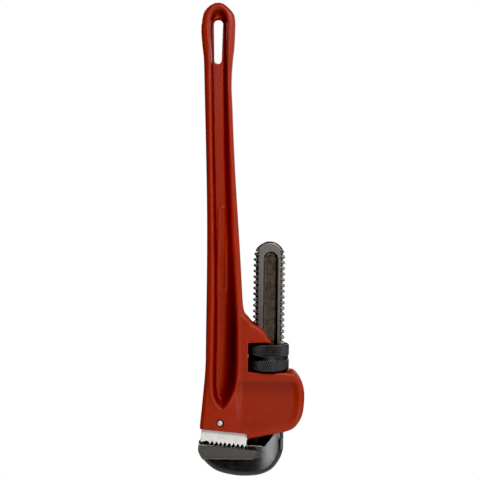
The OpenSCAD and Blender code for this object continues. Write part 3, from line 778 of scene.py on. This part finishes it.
rim = nutHalf - nut["rim"] * np.array([0, 0.02, 0.08, 0.2, 0.4, 0.65])
outsideZ = np.concatenate([-rim, np.linspace(-nutHalf + nut["rim"], nutHalf - nut["rim"], 96), rim[::-1]])
boreZ = np.linspace(nutHalf, -nutHalf, 80)
turn = np.linspace(0, 2 * np.pi, nut["teeth"] * 8, endpoint=False)[None, :]
z = np.concatenate([boreZ, outsideZ])[:, None]
r = np.vstack([nutBore(turn, boreZ[:, None]), nutOutside(turn, outsideZ[:, None])])
grid = np.stack(np.broadcast_arrays(r * np.cos(turn), r * np.sin(turn), z), axis=2).reshape(-1, 3)
ridges = (r - nut["radius"] + nut["knurl"]) / nut["knurl"]
ridges[:len(boreZ)] = 0
nutPiece = makePiece("knurledNut", grid, gridFaces(len(z), turn.size, closeRows=True), 38, ridges.ravel())
fit(nutPiece, "adjusting_nut", "nut", nutBlack())


# The heel jaw and its pin
heel = {"half": 13.0, "valley": 2.3, "tip": -1.4, "length": 50.3, "right": 23.5, "round": 0.6, "pinHole": 3.1}
heelLeft = heel["right"] - heel["length"]
heelOutline = np.array(
    [bitePoint(heelLeft, 0.9), bitePoint(heelLeft + 0.9, 0)]
    + toothRow(heel["valley"], heel["tip"] - heel["valley"])
    + [[lipX - 0.3, bitePoint(heel["right"], 0)[1] + 1],
       [lipX - 0.3, bitePoint(heel["right"], bite["heel"] - 2.4)[1]],
       [lipX - 1.2, bitePoint(23.2, bite["heel"] - 0.8)[1]], [lipX - 2.8, bitePoint(21.7, bite["heel"])[1]],
       bitePoint(heelLeft + 1.1, bite["heel"]), bitePoint(heelLeft, bite["heel"] - 1.1)])
heelPlan = Plan(heelOutline, (-78, -18), (-102, -74), 0.2)


# The heel jaw: its outline between two flat faces, joined to a thinner tang whose top corners
# are cut off, with the pin's hole through it
def heelShape(x, y, z):
    block = roundMax(heelPlan(x, z), np.abs(y) - heel["half"], heel["round"])
    u, v = alongBite(x, z)
    across = np.abs(u - tang["middle"])
    stem = np.maximum(np.maximum(across - tang["half"], np.abs(y) - tang["thickHalf"]),
                      np.maximum(v - tang["top"] + np.maximum(0, across - 10), bite["heel"] - 2 - v))
    return np.maximum(np.minimum(block, stem), heel["pinHole"] - np.hypot(x - pinAt[0], z - pinAt[1]))


xs = np.arange(-75.2, -21, 0.5)
ys = np.concatenate([np.arange(-13.6, -11.5, 0.4), np.arange(-11.2, 11.5, 0.8), np.arange(11.6, 13.9, 0.4)])
zs = np.concatenate([np.arange(-100.6, -80, 0.42), np.arange(-80, -58, 0.8)])
points, faces = skin(heelShape, xs, ys, zs)
heelJaw = makePiece("heelJaw", points, faces, 35, edgeSharpness(heelShape, points, 0.9))
fit(heelJaw, "heel_jaw", "handle", groundSteel("groundSteel", jawSteel))


# A solid turned from a profile of radius r and place s along the axis, whose ends lie on the
# axis: each ring is r by the cosine and sine of the turn, at s, and inFrame lays it in the wrench
def turnedPiece(name, profile, inFrame):
    count = 48
    turn = np.linspace(0, 2 * np.pi, count, endpoint=False)[None, :]
    r, s = np.array(profile, float).T[:, 1:-1, None]
    ring = np.stack(np.broadcast_arrays(r * np.cos(turn), r * np.sin(turn), s), axis=2).reshape(-1, 3)
    ends = np.array([[0, 0, profile[0][1]], [0, 0, profile[-1][1]]])
    k = np.arange(count)
    last = (len(r) - 1) * count
    first = np.column_stack([(k + 1) % count, k, np.full(count, len(ring))])
    final = np.column_stack([last + k, last + (k + 1) % count, np.full(count, len(ring) + 1)])
    faces = gridFaces(len(r), count).tolist() + first.tolist() + final.tolist()
    return smallPiece(name, inFrame(np.vstack([ring, ends])), faces, 40)


def pinFrame(p):  # the pin lies along y
    return np.column_stack([p[:, 0] + pinAt[0], -p[:, 2], p[:, 1] + pinAt[1]])


domeTop, domeRise, domeRadius = cast["faceHalf"] - 0.2, 1.1, 3.0
dome = [[domeRadius * math.sin(a), domeTop - domeRise * (1 - math.cos(a))] for a in np.linspace(0, 1.35, 9)]
pin = turnedPiece("heelJawPin", [[r, -s] for r, s in dome] + [[r, s] for r, s in dome[::-1]], pinFrame)
pinMetal = groundSteel("pinSteel", pinSteel)
fit(pin, "heel_jaw_pin", "handle", pinMetal)

# The springs and their rivet
rivetLow, rivetHigh = nodeBox("spring_rivet")
rivetLong = rivetHigh[0] - rivetLow[0]
rivetProfile = [[0, 0], [1.8, 0.2], [2.9, 0.8], [3.5, 1.6], [2.0, 1.62], [2.0, rivetLong], [0, rivetLong]]


def rivetFrame(p):  # the rivet lies along x
    return np.column_stack([p[:, 2] + rivetLow[0], p[:, 0], p[:, 1] + (rivetLow[2] + rivetHigh[2]) / 2])


rivet = turnedPiece("springRivet", rivetProfile, rivetFrame)
fit(rivet, "spring_rivet", "handle", pinMetal)


# A closed tube from rings of points, with a flat face over each end
def closedTube(name, points, rings, size, sharp):
    ends = [list(range(size)), [(rings - 1) * size + k for k in range(size - 1, -1, -1)]]
    return smallPiece(name, points, gridFaces(rings, size)[:, ::-1].tolist() + ends, sharp)


leaf = {"thick": 1.8, "half": 6.5, "gap": 0.1}
leafTop = nodeBox("flat_spring")[1][2]
wallX = side + cast["springRoom"]
leafLine = smoothCurve([[wallX - leaf["gap"], leafTop], [wallX - leaf["gap"], leafTop - 6],
                        [wallX - leaf["gap"], leafTop - 12], [wallX - 4, leafTop - 24],
                        [side + 3.2, leafTop - 33], [side + 2.2, leafTop - 39],
                        [side + 4.2, leafTop - 45]], steps=8)


# A strip along a line in x and z: at each point a rectangle, set square to the line
def strip(line, thick, half):
    step = np.gradient(line, axis=0)
    across = np.column_stack([step[:, 1], -step[:, 0]]) / np.linalg.norm(step, axis=1, keepdims=True)
    far = line + across * thick
    ring = [(line, -half), (far, -half), (far, half), (line, half)]
    corners = [np.column_stack([p[:, 0], np.full(len(p), y), p[:, 1]]) for p, y in ring]
    return np.stack(corners, 1).reshape(-1, 3)


springMetal = springSteel()
flatSpring = closedTube("flatSpring", strip(leafLine, leaf["thick"], leaf["half"]), len(leafLine), 4, 40)
fit(flatSpring, "flat_spring", None, springMetal)
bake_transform(flatSpring)

coil = {"wire": 0.6, "mean": 3.6, "turns": 6, "perTurn": 20, "around": 10}
coilRings = coil["turns"] * coil["perTurn"] + 1


# A wire wound on a helix whose axis lies along x: the helix's place, plus the wire's radius
# outwards by the cosine of the angle round it and along the axis by its sine
def helix():
    start, finish = coilBox[0][0] + coil["wire"], coilBox[1][0] - coil["wire"]
    wind = np.linspace(0, 1, coilRings)[:, None]
    a = wind * coil["turns"] * 2 * np.pi
    b = np.linspace(0, 2 * np.pi, coil["around"], endpoint=False)[None, :]
    r = coil["mean"] + coil["wire"] * np.cos(b)
    x = start + (finish - start) * wind + coil["wire"] * np.sin(b)
    return np.stack([x, r * np.cos(a), r * np.sin(a) + coilAt], axis=2).reshape(-1, 3)


coilSpring = closedTube("coilSpring", helix(), coilRings, coil["around"], 60)
fit(coilSpring, "coil_spring", None, springMetal)
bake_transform(coilSpring)


# Floor, light and camera, in metres
stand = {"floor": 0.78, "half": 0.9, "tone": 0.92, "middle": (0.0270, -0.2444), "front": -0.0175,
         "distance": 1.03, "seen": 0.5243, "roll": 0.75, "black": 0.012, "dim": 0.02, "aim": (0.02, 0, -0.3)}
scene = bpy.context.scene
view = scene.view_settings
view.view_transform = "Standard"
view.use_curve_mapping = True
view.curve_mapping.black_level = (stand["black"],) * 3
view.curve_mapping.update()

floorMesh = bpy.data.meshes.new("paleFloor")
floorHalf = stand["half"]
floorMesh.from_pydata([(-floorHalf, -floorHalf, 0), (floorHalf, -floorHalf, 0), (floorHalf, floorHalf, 0),
                       (-floorHalf, floorHalf, 0)], [], [(0, 1, 2, 3)])
floor = bpy.data.objects.new("paleFloor", floorMesh)
floor.location = (0, 0, -stand["floor"])
scene.collection.objects.link(floor)
floor.data.materials.append(Finish("paleFloor").finish(Base_Color=(stand["tone"],) * 3, Roughness=0.7))


# A rectangular lamp at a place, of a width, height and power, that looks at the wrench
def softLight(name, at, size, power):
    lamp = bpy.data.lights.new(name, "AREA")
    lamp.shape, lamp.size, lamp.size_y, lamp.energy = "RECTANGLE", *size, power
    piece = bpy.data.objects.new(name, lamp)
    piece.location = at
    aim = Vector(stand["aim"]) - Vector(at)
    piece.rotation_euler = aim.to_track_quat("-Z", "Y").to_euler()
    scene.collection.objects.link(piece)


softLight("keyLight", (0.50, -1.25, 0.75), (0.32, 0.44), 27)
softLight("lowLight", (0.42, -1.1, -0.67), (0.26, 0.22), 2.4)
softLight("sideLight", (1.25, -0.25, 0.0), (0.14, 1.0), 5)
softLight("leftLight", (-1.25, 0.15, -0.1), (0.2, 1.0), 1.0)
softLight("backLight", (-0.6, 1.4, 0.75), (0.8, 0.8), 26)
softLight("backFill", (0.9, 1.2, 0.3), (0.5, 0.9), 7)
print("floor and lights")

# The camera sees white all round, and the wrench is lit by very little of it
world = bpy.data.worlds.new("studio")
scene.world = world
world.use_nodes = True
studio = Nodes(world.node_tree)
background = studio.tree.nodes["Background"]
background.inputs["Color"].default_value = (stand["dim"], stand["dim"], stand["dim"], 1)
seen = studio.node("ShaderNodeBackground", Color=(1, 1, 1))
cameraRay = studio.node("ShaderNodeLightPath", output="Is Camera Ray")
pick = studio.node("ShaderNodeMixShader", _0=cameraRay, _1=Wire(background.outputs[0]), _2=seen)
connect(studio.tree, pick, studio.tree.nodes["World Output"].inputs["Surface"])

lens = bpy.data.cameras.new("mainCamera")
lens.sensor_width = 36
lens.lens = lens.sensor_width * stand["distance"] / stand["seen"]
camera = bpy.data.objects.new("mainCamera", lens)
camera.location = (stand["middle"][0], stand["front"] - stand["distance"], stand["middle"][1])
camera.rotation_euler = (math.radians(90), -math.radians(stand["roll"]), 0)
scene.collection.objects.link(camera)
scene.camera = camera
